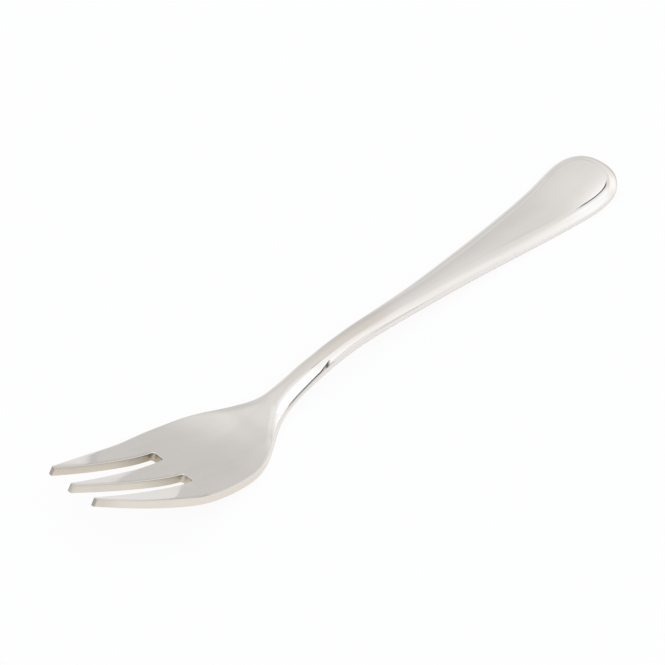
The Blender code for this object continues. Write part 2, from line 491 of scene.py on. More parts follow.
    def outer_tine_plan(self) -> np.ndarray:
        """Plan of the outer tine's face.

        Returns:
            Rows by columns by (station, across).
        """
        station = self.tine_stations()
        _, outer = self.slot_edges(station)
        share = np.linspace(0.0, 1.0, self.outer_lanes + 1)
        start = (outer + self.rim_break)[:, None]
        across = start + (self.face_half_width(station)[:, None] - start) * share[None, :]
        along = np.broadcast_to(self.outer_station(station)[:, None], across.shape)
        return np.stack((along, across), -1)

    def face(self, plan: np.ndarray, side: Side) -> Surface:
        """One face of the sheet over a plan: the upper height or none, pressed.

        Args:
            plan: Rows by columns by (station, across).
            side: Which face of the sheet.

        Returns:
            The face, turned outwards.
        """
        station, across = plan[..., 0], plan[..., 1]
        upper = side is Side.UPPER
        height = self.face_height(station, across) if upper else np.zeros_like(station)
        blank = np.stack((station, across, height), -1) * METRES_PER_MILLIMETRE
        made = Surface.from_grid(self.press(station, across, height), blank, np.zeros_like(station))
        return made if upper else made.turned_over()

    def rim_path(self) -> RimPath:
        """The half outline, with corners turned about the corner points of the faces.

        Returns:
            The path.
        """
        body, middle, outer = self.body_plan(), self.middle_tine_plan(), self.outer_tine_plan()
        turn = np.linspace(0.0, math.pi / 2.0, self.corner_turns + 1)
        sine, cosine = np.sin(turn), np.cos(turn)
        rim = self.rim_break

        def sharp(inner: np.ndarray, outline: np.ndarray) -> RimPath:
            """Stretch with the plain broken rim."""
            plain = np.full(len(inner), rim)
            return RimPath(inner, outline, plain, plain, np.full(len(inner), self.plain_bevel))

        _, end_outline = self.end_rails()
        stations = self.tine_stations()
        side_inner = np.concatenate((body[:-1, -1], outer[:, -1]))
        body_side = np.stack((self.body_stations(), self.half_width(self.body_stations())), -1)
        tine_side = np.stack((outer[:, -1, 0], self.half_width(stations)), -1)
        side_outline = np.concatenate((end_outline, body_side, tine_side))
        side = RimPath(
            side_inner, side_outline,
            self.sheet_height(side_outline[:, 0]) - self.edge_height(side_outline[:, 0]),
            self.under_rounding(side_outline[:, 0]),
            self.shoulder_bevel(side_outline[:, 0]),
        )

        tip_outer = self.outer_station(np.array(self.length))
        reach = tip_outer - outer[-1, -1, 0]
        width = side_outline[-1, 1] - side_inner[-1, 1]
        corner = np.broadcast_to(outer[-1, -1], (len(turn), 2))
        outer_corner = RimPath(
            corner, corner + np.stack((reach * sine, width * cosine), -1),
            side.drop[-1] + (rim - side.drop[-1]) * sine,
            side.lift[-1] + (rim - side.lift[-1]) * sine,
            np.full(len(turn), side.bevel[-1]),
        )
        tip = outer[-1, ::-1]
        outer_tip = sharp(tip, np.stack((np.full(len(tip), tip_outer), tip[:, 1]), -1))
        corner = np.broadcast_to(outer[-1, 0], (len(turn), 2))
        slot_corner = sharp(corner, corner + np.stack((reach * cosine, -rim * sine), -1))

        slot_inner, slot_outer = self.slot_edges(stations)
        back = outer[::-1, 0]
        outer_slot = sharp(back, np.stack((back[:, 0], slot_outer[::-1]), -1))
        root = sharp(self.root_line(rim)[::-1], self.root_line(0.0)[::-1])
        middle_slot = sharp(middle[:, -1], np.stack((stations, slot_inner), -1))
        corner = np.broadcast_to(middle[-1, -1], (len(turn), 2))
        middle_corner = sharp(corner, corner + rim * np.stack((sine, cosine), -1))
        tip = middle[-1, ::-1]
        middle_tip = sharp(tip, np.stack((np.full(len(tip), self.length), tip[:, 1]), -1))
        return RimPath.joined([
            side, outer_corner, outer_tip, slot_corner, outer_slot, root,
            middle_slot, middle_corner, middle_tip,
        ])

    def rim(self) -> Surface:
        """The rim: a profile carried along the half outline.

        From the upper face the profile goes out by a share and down by a power of one less a power
        of that share, then straight down the edge wall, and round a quarter turn to the underside.

        Returns:
            The rim of the half fork, turned outwards.
        """
        path = self.rim_path()
        turn = np.linspace(0.0, math.pi / 2.0, self.shoulder_turns + 1)
        under = np.linspace(math.pi / 2.0, 0.0, self.under_turns + 1)
        steps = np.linspace(0.0, 1.0, self.wall_steps + 1)[1:-1]
        reach = np.concatenate((np.sin(turn), np.ones(len(steps)), np.sin(under)))
        down = np.concatenate((np.zeros(len(turn)), steps, np.ones(len(under))))
        lift = np.concatenate((np.ones(len(turn) + len(steps)), 1.0 - np.cos(under)))
        upper_share, under_share = (np.sin(way) ** self.wall_sharpness for way in (turn, under))
        wall = np.concatenate((upper_share, np.ones(len(steps)), under_share))

        plan = path.inner[:, None] + (path.outline - path.inner)[:, None] * reach[None, :, None]
        station, across = plan[..., 0], plan[..., 1]
        rise = np.maximum(1.0 - reach[None, :] ** path.bevel[:, None], 0.0) ** self.shoulder_power
        upper = self.face_height(station, across) - path.drop[:, None] * (1.0 - rise)
        lower = path.lift[:, None] * lift[None]
        height = upper + (lower - upper) * down[None]
        blank = np.stack((station, across, height), -1) * METRES_PER_MILLIMETRE
        walls = np.broadcast_to(wall[None], station.shape)
        return Surface.from_grid(self.press(station, across, height), blank, walls)

    def surface(self) -> Surface:
        """The whole fork: both faces and the rim of one half, mirrored.

        Returns:
            One closed surface.
        """
        plans = (self.body_plan(), self.middle_tine_plan(), self.outer_tine_plan())
        faces = [self.face(plan, side) for plan in plans for side in Side]
        half = Surface.joined([*faces, self.rim()])
        return Surface.joined([half, half.mirrored()]).welded(WELD_TOLERANCE)

    def build(self) -> bpy.types.Object:
        """The fork, riding on the only body in place of the plain solid.

        Returns:
            Its object.
        """
        made = self.surface().to_object("pressed_fork")
        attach(made, "root")
        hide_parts("fork")
        return made


@dataclass(frozen=True)
class Term:
    """A socket that takes part in Python arithmetic, adding a Math node for each operation."""

    graph: "Graph"
    socket: bpy.types.NodeSocket

    def __add__(self, other: "Term | float") -> "Term":
        """Sum."""
        return self.graph.math("ADD", self, other)

    __radd__ = __add__

    def __sub__(self, other: "Term | float") -> "Term":
        """Difference."""
        return self.graph.math("SUBTRACT", self, other)

    def __rsub__(self, other: "Term | float") -> "Term":
        """Difference from a number."""
        return self.graph.math("SUBTRACT", other, self)

    def __mul__(self, other: "Term | float") -> "Term":
        """Product."""
        return self.graph.math("MULTIPLY", self, other)

    __rmul__ = __mul__

    def __truediv__(self, other: "Term | float") -> "Term":
        """Quotient."""
        return self.graph.math("DIVIDE", self, other)

    def step(self, low: float, high: float, start: float = 0.0, end: float = 1.0) -> "Term":
        """Smooth step from one result to another.

        Args:
            low: Value up to which the result is start.
            high: Value from which the result is end.
            start: The first result.
            end: The last result.

        Returns:
            The result.
        """
        settings = {"interpolation_type": "SMOOTHSTEP"}
        sockets = {"Value": self, "From Min": low, "From Max": high, "To Min": start, "To Max": end}
        return self.graph.add("ShaderNodeMapRange", settings, sockets)

    def fade(self, low: float, high: float) -> "Term":
        """Smooth step from 1 to 0 as the value goes from low to high."""
        return self.step(low, high, 1.0, 0.0)

    def window(self, span: Window) -> "Term":
        """1 inside a window and 0 outside it, with a smooth step at each end."""
        return self.step(span[0], span[1]) * self.fade(span[2], span[3])

    def at_least(self, low: float) -> "Term":
        """The value, or low where that is more."""
        return self.graph.math("MAXIMUM", self, low)

    def at_most(self, high: float) -> "Term":
        """The value, or high where that is less."""
        return self.graph.math("MINIMUM", self, high)

    def squared(self) -> "Term":
        """The value times itself."""
        return self * self

    def bell(self) -> "Term":
        """Bell curve: e to the power of minus the value's square."""
        return self.graph.math("EXPONENT", self.squared() * -1.0, 0.0)


@dataclass(frozen=True)
class Graph:
    """A node tree that is written as expressions."""

    tree: bpy.types.NodeTree

    @classmethod
    def of(cls, owner: bpy.types.Material | bpy.types.World) -> "Graph":
        """Empty tree of a material or the world.

        Args:
            owner: The material or world.

        Returns:
            Its tree.
        """
        owner.use_nodes = True
        owner.node_tree.nodes.clear()
        return cls(owner.node_tree)

    def add(self, kind: str, settings: dict[str, object] | None = None,
            sockets: dict[str | int, object] | None = None, output: str | int = 0) -> Term:
        """Add a node.

        Args:
            kind: The node's type.
            settings: Its own properties, set first.
            sockets: Values or links of its inputs.
            output: Name or number of the output that is wanted.

        Returns:
            That output.
        """
        node = self.tree.nodes.new(kind)
        for name, value in (settings or {}).items():
            setattr(node, name, value)
        for name, value in (sockets or {}).items():
            if isinstance(value, Term):
                self.tree.links.new(value.socket, node.inputs[name])
            else:
                node.inputs[name].default_value = value
        return Term(self, node.outputs[output] if node.outputs else None)

    def math(self, operation: str, first: Term | float, second: Term | float) -> Term:
        """Math node on two values."""
        return self.add("ShaderNodeMath", {"operation": operation}, {0: first, 1: second})

    def mix(self, share: Term, first: Term | Colour, second: Term | Colour) -> Term:
        """Mix two colours. The node's colour sockets go by number, since others have their names.

        Args:
            share: Share of the second colour.
            first: Colour at a share of 0.
            second: Colour at a share of 1.

        Returns:
            The mixed colour.
        """
        first, second = (one if isinstance(one, Term) else (*one, 1.0) for one in (first, second))
        sockets = {0: share, 6: first, 7: second}
        return self.add("ShaderNodeMix", {"data_type": "RGBA"}, sockets, output=2)

    def dot(self, vector: Term, other: Size) -> Term:
        """Dot product with a fixed vector."""
        settings = {"operation": "DOT_PRODUCT"}
        return self.add("ShaderNodeVectorMath", settings, {0: vector, 1: other}, "Value")

    def axes(self, vector: Term) -> tuple[Term, Term, Term]:
        """The three numbers of a vector."""
        x, y, z = self.add("ShaderNodeSeparateXYZ", None, {0: vector}).socket.node.outputs
        return Term(self, x), Term(self, y), Term(self, z)

    def ray(self, kind: Ray) -> Term:
        """1 for rays of a kind, and 0 for other rays."""
        return self.add("ShaderNodeLightPath", output=kind.value)

    def seen(self) -> Term:
        """1 for rays from the camera, a glossy surface or clear glass, and 0 for other rays."""
        rays = self.ray(Ray.CAMERA) + self.ray(Ray.GLOSSY) + self.ray(Ray.CLEAR)
        return rays.at_most(1.0)


@dataclass(frozen=True)
class Blank:
    """Places on the flat blank within a material, in millimetres, and the share of edge wall.

    A side is a distance from the middle plane, below 0 on the near side, and across is the same
    without its sign. A height is above the blank's underside.
    """

    plan: Term
    station: Term
    side: Term
    across: Term
    height: Term
    wall: Term

    @classmethod
    def of(cls, graph: Graph) -> "Blank":
        """The places that the mesh's attributes give.

        Args:
            graph: The material's tree.

        Returns:
            Terms in that tree.
        """
        metres = graph.add("ShaderNodeAttribute", {"attribute_name": "plan"}, output="Vector")
        sockets = {0: metres, 3: 1.0 / METRES_PER_MILLIMETRE}
        plan = graph.add("ShaderNodeVectorMath", {"operation": "SCALE"}, sockets)
        wall = graph.add("ShaderNodeAttribute", {"attribute_name": "wall"}, output="Fac")
        station, side, height = graph.axes(plan)
        return cls(plan, station, side, graph.math("ABSOLUTE", side, 0.0), height, wall)


@dataclass(frozen=True)
class Grain:
    """Soft random values over the blank: patches to the millimetre each way, and finer layers."""

    scale: Size
    detail: float

    def over(self, blank: Blank) -> Term:
        """The values.

        Args:
            blank: The places.

        Returns:
            Values about a half.
        """
        graph, settings = blank.plan.graph, {"operation": "MULTIPLY"}
        place = graph.add("ShaderNodeVectorMath", settings, {0: blank.plan, 1: self.scale})
        sockets = {"Vector": place, "Scale": 1.0, "Detail": self.detail}
        return graph.add("ShaderNodeTexNoise", None, sockets)


@dataclass(frozen=True)
class Patch:
    """A soft-edged patch of the blank, by a window of stations and a window across them."""

    stations: Window
    sides: Window
    share: float = 1.0

    def over(self, station: Term, side: Term) -> Term:
        """Share of the patch at each place."""
        return station.window(self.stations) * side.window(self.sides) * self.share


@dataclass(frozen=True)
class TineFinish:
    """One tine's finish: its face rolls off from polishing, and its near edge has painted shade.

    Sides are those at the slots' roots. A line moves sideways by its slope with each millimetre
    along the tine, and by its bend with the square of that distance. The tilt is about a hinge. The
    painted shade's share fades over a stretch that starts and ends at so many widths from the edge,
    and its width goes from one size to another along the tine.
    """

    middle: float
    curve: float
    edge: float
    edge_slope: float
    edge_shade_share: float
    edge_shade_fade: Ramp
    middle_slope: float = 0.0
    hinge: float = 0.0
    tilt: float = 0.0
    edge_bend: float = 0.0
    edge_shade_widths: Ramp = (1.0, 1.0)
    edge_shade_reach: Ramp = (0.0, 1.0)

    def fall(self, along: Term, side: Term) -> Term:
        """How far the face is down, by the square of the distance from its middle line.

        Args:
            along: Distance past the slots' roots.
            side: Distance from the middle plane.

        Returns:
            Heights, downwards.
        """
        off_middle = side - along * self.middle_slope - self.middle
        return off_middle.squared() * self.curve + (side - self.hinge) * self.tilt

    def edge_shaded(self, along: Term, side: Term) -> Term:
        """Share of painted shade, by the distance in from the near edge.

        Args:
            along: Distance past the slots' roots.
            side: Distance from the middle plane.

        Returns:
            The shares.
        """
        inwards = side - along * self.edge_slope - along.squared() * self.edge_bend - self.edge
        widths = inwards / along.step(*self.edge_shade_reach, *self.edge_shade_widths)
        return widths.step(*self.edge_shade_fade, self.edge_shade_share, 0.0)


@dataclass(frozen=True)
class PolishedSteel:
    """Mirror-polished stainless faces, wiped lengthwise, with satin walls from the blanking tool.

    The plan attribute gives each place on the blank, so the marks follow the fork's length round
    its bends. The wall attribute tells edge walls from faces. Windows and ramps are stations unless
    their names say otherwise, and heights are in millimetres.
    """

    name: str = "polished_steel"
    colour: Colour = (0.745, 0.715, 0.684)
    haze_colour: Colour = (0.715, 0.682, 0.646)
    # Painted shade: a darker, warmer reflection on the neck's far side.
    neck_shade_colour: Colour = (0.69, 0.645, 0.6)
    # Painted highlight: on the near side of the handle's end, neck and heel, and on the lip.
    highlight_colour: Colour = (0.94, 0.905, 0.88)
    # Painted shade on the faces.
    shade_colour: Colour = (0.63, 0.6, 0.567)
    # Painted shade along the tines' near edges.
    edge_shade_colour: Colour = (0.52, 0.48, 0.43)
    wall_colour: Colour = (0.85, 0.81, 0.78)
    head_wall_colour: Colour = (0.8, 0.74, 0.67)
    # Painted shade on the walls: in the slots, more on the far side and most at the roots, and on
    # the tips.
    near_tine_colour: Colour = (0.75, 0.7, 0.625)
    far_tine_colour: Colour = (0.69, 0.63, 0.545)
    tip_shade_colour: Colour = (0.5, 0.455, 0.4)
    near_root_colour: Colour = (0.46, 0.41, 0.32)
    far_root_colour: Colour = (0.31, 0.265, 0.18)
    # Painted dark reflection line where the faces turn into the walls.
    line_colour: Colour = (0.22, 0.2, 0.18)

    roughness: float = 0.055
    haze_roughness: float = 0.1
    wall_roughness: float = 0.3
    shear_roughness: float = 0.46
    lip_roughness: float = 0.25
    rough_lip_end: Ramp = (83.6, 84.4)
    rough_crease: Patch = Patch((95.0, 98.0, 102.8, 104.5), (-1.0, -0.2, 0.2, 1.0), 0.33)

    wiping: Grain = Grain((0.16, 7.0, 7.0), 3.0)
    clouds: Grain = Grain((0.09, 0.3, 0.3), 2.0)
    shear: Grain = Grain((5.0, 5.0, 0.4), 2.0)
    ripple: Grain = Grain((0.12, 0.2, 0.2), 1.0)
    wiping_haze_values: Ramp = (0.5, 0.8)
    wiping_share: float = 0.3
    cloud_haze_values: Ramp = (0.4, 0.75)
    cloud_share: float = 0.7
    # Where the neck's painted shade lies, on its far side.
    neck_shade: Patch = Patch((60.0, 71.0, 80.0, 99.0), (-1.75, -1.35, *TO_END))

    ripple_height: float = 0.0022
    wiping_height: float = 0.00015
    shear_height: float = 0.0003
    mark_height: float = 0.012
    mark_station: float = 123.4
    mark_sides: tuple[float, float] = (2.75, 5.35)
    mark_size: tuple[float, float] = (1.1, 0.22)
    facet_height: float = 0.12
    facet_stations: Window = (82.9, 83.3, 84.0, 86.8)
    facet_station: float = 83.3
    facet_side: float = -1.75
    facet_slant: float = -0.145
    facet_width: float = 0.42
    heel_height: float = 0.165
    heel_stations: Window = (96.5, 98.5, 99.5, 108.0)
    heel_station: float = 98.2
    heel_half_width: float = 2.1
    heel_spread: float = 0.7
    heel_reach: float = 1.5

    slot_root: float = 124.6
    middle_tine_sides: Window = (-4.0, -3.8, 3.8, 4.0)
    near_tine: TineFinish = TineFinish(
        middle=-8.2892, middle_slope=0.098, curve=0.0175, edge=-10.933, edge_slope=0.1446,
        edge_bend=0.0018, edge_shade_share=0.8, edge_shade_fade=(0.1, 0.95), edge_shade_widths=(1.0, 0.5),
        edge_shade_reach=(8.4, 16.4),
    )
    middle_tine: TineFinish = TineFinish(
        middle=0.0, curve=0.0123, edge=-2.75, edge_slope=0.0906, edge_shade_share=0.55,
        edge_shade_fade=(0.1, 0.85),
    )
    far_tine: TineFinish = TineFinish(
        middle=7.3, curve=0.00485, hinge=5.3, tilt=0.0436, edge=5.35, edge_slope=-0.0039,
        edge_shade_share=0.55, edge_shade_fade=(0.1, 0.95), edge_shade_widths=(0.9, 1.9), edge_shade_reach=(16.4, 22.4),
    )
    tine_fall_past_root: Ramp = (-0.1, 2.9)
    tine_dull_past_root: Ramp = (-0.1, 1.9)

    # Patches of painted shade: the far shoulder, the near fold, beside the far heel and in the
    # hollow.
    fold_rise: Ramp = (16.0, 75.0)
    fold_heights: Ramp = (2.39, 2.84)
    far_shoulder: Patch = Patch((10.0, 20.0, 66.0, 74.0), (0.3, 0.9, *TO_END), 0.9)
    far_shoulder_drops: Ramp = (0.12, 0.36)
    fold: Patch = Patch((18.0, 23.0, 31.0, 36.0), (*FROM_START, -1.6, -1.0), 0.38)
    fold_drops: Window = (-0.016, -0.006, -0.006, 0.006)
    far_heel: Patch = Patch((98.0, 102.0, 107.0, 111.5), (-1.7, -0.2, *TO_END), 0.6)
    hollow: Patch = Patch((100.5, 104.0, 108.5, 113.5), (-7.0, -4.5, 0.5, 3.2), 0.36)

    # Patches of painted highlight on the near side.
    neck_highlight: Patch = Patch((85.5, 88.0, 97.0, 98.5), (*FROM_START, -1.7, -0.5), 0.3)
    heel_highlight: Patch = Patch((97.0, 98.5, 100.8, 104.0), (*FROM_START, -0.5, 1.4), 0.5)
    end_highlight: Ramp = (6.0, 22.0)
    end_highlight_heights: Ramp = (2.31, 2.37)
    end_highlight_side: float = -1.0
    end_highlight_reach: float = 4.3

    # Where the walls' colours change: painted shade in the slots and on the tips' end faces.
    head_walls: Ramp = (102.0, 116.0)
    tip_walls: Ramp = (144.0, 148.5)
    tip_wall_share: float = 0.85
    slot_walls: Ramp = (123.5, 124.2)
    slot_distances: Ramp = (5.45, 5.8)
    slot_sides: Ramp = (-1.0, 1.0)
    root_walls: Ramp = (121.0, 137.0)
    root_glint: Ramp = (124.7, 125.8)
    root_glint_share: float = 0.45
    tips: Ramp = (149.35, 149.5)
    near_tip_sides: Ramp = (-5.9, -5.6)
    near_tip_lead: float = 0.12
    bright_tip_sides: Window = (-1.0, -0.9, 0.0, 0.3)
    bright_tip_share: float = 0.85

    # Where the painted dark reflection line lies along the fork, and how strong it is.
    line_rise: Ramp = (28.0, 40.0)
    line_rise_shares: Ramp = (0.1, 0.2)
    line_fall: Ramp = (70.0, 78.0)
    line_fall_share: float = 0.5
    neck_line: Window = (85.0, 90.0, 94.0, 99.0)
    neck_line_share: float = 0.3
    # The lip, which is rougher, and the painted highlight on it as far as the neck.
    lip_start: Ramp = (68.0, 74.0)
    lip_wall_shares: Window = (0.0, 0.03, 0.3, 0.6)
    bright_lip_end: Ramp = (81.8, 83.2)
    bright_lip_share: float = 0.85

    def heel_line(self, blank: Blank) -> Term:
        """Distance from the middle plane of the crease that runs outwards beside the heel."""
        return (blank.station - self.heel_station) * self.heel_spread + self.heel_half_width

    def by_tine(self, side: Term, near: Term, middle: Term, far: Term) -> Term:
        """Choose a value by the tine that a place is on.

        Args:
            side: Distance from the middle plane.
            near: Value on the near tine.
            middle: Value on the middle tine.
            far: Value on the far tine.

        Returns:
            The tine's value.
        """
        near_end, middle_start, middle_end, far_start = self.middle_tine_sides
        value = near * side.fade(near_end, middle_start)
        value = value + middle * side.window(self.middle_tine_sides)
        return value + far * side.step(middle_end, far_start)

    def root_marks(self, blank: Blank) -> Term:
        """Short raised marks of burnishing that run on from the corners of the slots' roots.

        Each is a bell curve along the fork and a narrower one across it.

        Args:
            blank: The places.

        Returns:
            Heights.
        """
        length, width = self.mark_size
        along = ((blank.station - self.mark_station) / length).bell()
        first, second = (((blank.across - side) / width).bell() for side in self.mark_sides)
        return along * (first + second) * self.mark_height

    def neck_facet(self, blank: Blank) -> Term:
        """A small flat that the polishing wheel left on the neck's shoulder.

        Below a line that slants along the shoulder the surface falls away as u - u * u / 2, where u
        runs from 0 on the line to 1 at the flat's lower edge, and the fall fades along the neck.

        Args:
            blank: The places.

        Returns:
            Heights, downwards.
        """
        line = (blank.station - self.facet_station) * self.facet_slant + self.facet_side
        drop = ((line - blank.side) / self.facet_width).at_least(0.0).at_most(1.0)
        drop = drop - drop.squared() / 2.0
        return drop * blank.station.window(self.facet_stations) * self.facet_height

    def tine_fall(self, blank: Blank) -> Term:
        """How far the tines' faces roll off, from nothing at the slots' roots.

        Args:
            blank: The places.

        Returns:
            Heights, downwards.
        """
        along, side = blank.station - self.slot_root, blank.side
        tines = (self.near_tine, self.middle_tine, self.far_tine)
        falls = (tine.fall(along, side) for tine in tines)
        return self.by_tine(side, *falls) * along.step(*self.tine_fall_past_root)

    def heel_fall(self, blank: Blank) -> Term:
        """How far the face rolls off beside its edges where the neck widens.

        It falls with the square of u, which runs from 0 to 1 over the stretch before the crease.

        Args:
            blank: The places.

        Returns:
            Heights, downwards.
        """
        share = (blank.across - self.heel_line(blank)) / self.heel_reach + 1.0
        share = share.at_least(0.0).at_most(1.0).squared()
        return share * blank.station.window(self.heel_stations) * self.heel_height

    def heights(self, blank: Blank, wiping: Term, shear: Term) -> Term:
        """Heights that bend the reflections: marks of polishing and shearing, and roll-offs.

        Args:
            blank: The places.
            wiping: Values of the wiping marks.
            shear: Values of the sheared walls' streaks.

        Returns:
            Heights in metres.
        """
        height = self.ripple.over(blank) * self.ripple_height + wiping * self.wiping_height
        height = height + shear * blank.wall * self.shear_height + self.root_marks(blank)
        height = height - self.neck_facet(blank) - self.tine_fall(blank) - self.heel_fall(blank)
        return height * METRES_PER_MILLIMETRE

    def shade(self, blank: Blank) -> Term:
        """Painted shade: down the far shoulder, on the near fold, by the far heel and in the
        hollow.

        Args:
            blank: The places.

        Returns:
            Shares of painted shade.
        """
        station, side = blank.station, blank.side
        drop = station.step(*self.fold_rise, *self.fold_heights) - blank.height
        shoulder = self.far_shoulder.over(station, side) * drop.step(*self.far_shoulder_drops)
        fold = self.fold.over(station, side) * drop.window(self.fold_drops)
        heel = self.far_heel.over(station, side - self.heel_line(blank))
        return shoulder + fold + heel + self.hollow.over(station, side)

    def edge_shade(self, blank: Blank) -> Term:
        """Painted shade along the near edges of the tines, where the faces roll over into the
        walls.

        Args:
            blank: The places.

        Returns:
            Shares of painted shade.
        """
        along, side = blank.station - self.slot_root, blank.side
        tines = (self.near_tine, self.middle_tine, self.far_tine)
        shares = (tine.edge_shaded(along, side) for tine in tines)
        return self.by_tine(side, *shares) * along.step(*self.tine_dull_past_root)

    def burnish(self, blank: Blank) -> Term:
        """Painted highlight on the near side: at the handle's end, along the neck and by the heel.

        At the handle's end it grows with the square of the distance from a line beside the middle.

        Args:
            blank: The places.

        Returns:
            Shares of painted highlight.
        """
        station, side = blank.station, blank.side
        end = (self.end_highlight_side - side) / self.end_highlight_reach
        end = end.at_least(0.0).squared() * station.fade(*self.end_highlight)
        end = end * blank.height.step(*self.end_highlight_heights)
        neck = self.neck_highlight.over(station, side)
        heel = self.heel_highlight.over(station, side + self.heel_line(blank))
        return (end + neck + heel).at_most(1.0)

    def lip(self, blank: Blank) -> Term:
        """Share of the worn lip between the shoulder and the wall, from the neck onwards."""
        return blank.wall.window(self.lip_wall_shares) * blank.station.step(*self.lip_start)

    def face_colours(self, blank: Blank, haze: Term) -> Term:
        """Colour of the polished faces, with painted shade and painted highlights on them.

        Args:
            blank: The places.
            haze: Share of wiping haze.

        Returns:
            The colour.
        """
        graph, neck = haze.graph, self.neck_shade.over(blank.station, blank.side)
        face = graph.mix(haze, self.colour, self.haze_colour)
        # Painted shade on the neck's far side.
        face = graph.mix(neck, face, self.neck_shade_colour)
        # Painted shade down the far shoulder, on the near fold, by the far heel and in the hollow.
        face = graph.mix(self.shade(blank), face, self.shade_colour)
        # Painted shade along the tines' near edges.
        face = graph.mix(self.edge_shade(blank), face, self.edge_shade_colour)
        # Painted highlight on the near side: the handle's end, the neck and the heel.
        return graph.mix(self.burnish(blank), face, self.highlight_colour)

    def wall_colours(self, blank: Blank) -> Term:
        """Colour of the sheared walls: warmer on the head, with painted shade in the slots and on
        the tips.

        Args:
            blank: The places.

        Returns:
            The colour.
        """
        graph, station, side = blank.plan.graph, blank.station, blank.side
        outer = graph.mix(station.step(*self.head_walls), self.wall_colour, self.head_wall_colour)
        tip_wall = station.step(*self.tip_walls) * self.tip_wall_share
        outer = graph.mix(tip_wall, outer, self.far_tine_colour)
        # Painted shade on the slots' walls, darkest at the roots and on the far side.
        far = side.step(*self.slot_sides)
        root = graph.mix(far, self.near_root_colour, self.far_root_colour)
        tine = graph.mix(far, self.near_tine_colour, self.far_tine_colour)
        slot = graph.mix(station.step(*self.root_walls), root, tine)
        slot = graph.mix(station.fade(*self.root_glint) * self.root_glint_share, slot, tine)
        in_slot = station.step(*self.slot_walls) * blank.across.fade(*self.slot_distances)
        lead = side.fade(*self.near_tip_sides) * self.near_tip_lead
        bright = side.window(self.bright_tip_sides) * self.bright_tip_share
        # Painted shade on the tips' end faces, less near the middle of the middle tine's tip.
        tip = (station + lead).step(*self.tips) * (1.0 - bright)
        return graph.mix(tip, graph.mix(in_slot, outer, slot), self.tip_shade_colour)

    def colours(self, blank: Blank, haze: Term) -> Term:
        """Colour of faces and walls, with the painted dark line and the painted bright lip between
        them.

        The line's share goes with 4 w (1 - w), where w is the share of wall.

        Args:
            blank: The places.
            haze: Share of wiping haze.

        Returns:
            The colour.
        """
        graph, station, wall = haze.graph, blank.station, blank.wall
        colour = graph.mix(wall, self.face_colours(blank, haze), self.wall_colours(blank))
        # Painted dark reflection line where the faces turn into the walls.
        line = station.step(*self.line_rise, *self.line_rise_shares)
        line = line * station.step(*self.line_fall, 1.0, self.line_fall_share)
        line = line + station.window(self.neck_line) * self.neck_line_share
        colour = graph.mix(wall * (1.0 - wall) * 4.0 * line, colour, self.line_colour)
        # Painted highlight along the lip.
        bright = self.lip(blank) * station.fade(*self.bright_lip_end) * self.bright_lip_share
        return graph.mix(bright, colour, self.highlight_colour)

    def roughnesses(self, blank: Blank, haze: Term, shear: Term) -> Term:
        """Roughness of faces and walls, more on the neck's lip and along the near heel's crease.

        Args:
            blank: The places.
            haze: Share of wiping haze.
            shear: Values of the sheared walls' streaks.

        Returns:
            The roughness.
        """
        station, wall = blank.station, blank.wall
        face_rough = self.roughness + haze * (self.haze_roughness - self.roughness)
        wall_rough = self.wall_roughness + shear * (self.shear_roughness - self.wall_roughness)
        rough = face_rough + (wall_rough - face_rough) * wall
        rough = rough + self.lip(blank) * station.fade(*self.rough_lip_end) * self.lip_roughness
        crease = self.rough_crease.over(station, blank.side + self.heel_line(blank))
        return rough + crease * (1.0 - wall)

    def build(self) -> bpy.types.Material:
        """The material.

        Returns:
            A metal that is dressed all over by its places on the blank.
        """
        material = bpy.data.materials.new(self.name)
        graph = Graph.of(material)
        blank = Blank.of(graph)
        grains = (self.wiping, self.clouds, self.shear)
        wiping, clouds, shear = (grain.over(blank) for grain in grains)
        haze = clouds.step(*self.cloud_haze_values) * self.cloud_share
        haze = haze + wiping.step(*self.wiping_haze_values) * self.wiping_share
        bump = {"Strength": 1.0, "Distance": 1.0, "Height": self.heights(blank, wiping, shear)}
        sockets = {
            "Base Color": self.colours(blank, haze),
            "Metallic": 1.0,
            "Roughness": self.roughnesses(blank, haze, shear),
            "Normal": graph.add("ShaderNodeBump", None, bump),
        }
        shader = graph.add("ShaderNodeBsdfPrincipled", None, sockets)
        graph.add("ShaderNodeOutputMaterial", None, {"Surface": shader})
        return material


def flat_sheet(name: str, corners: list[Vector], material: bpy.types.Material) -> bpy.types.Object:
    """A flat sheet with four corners.

    Args:
        name: Name of the object and its mesh.
        corners: Places of the corners in millimetres, in order round the sheet.
        material: The sheet's finish.

    Returns:
        The object, linked to the scene.
    """
    mesh = bpy.data.meshes.new(name)
    mesh.from_pydata([METRES_PER_MILLIMETRE * corner for corner in corners], [], [(0, 1, 2, 3)])
    mesh.materials.append(material)
    made = bpy.data.objects.new(name, mesh)
    bpy.context.scene.collection.objects.link(made)
    return made


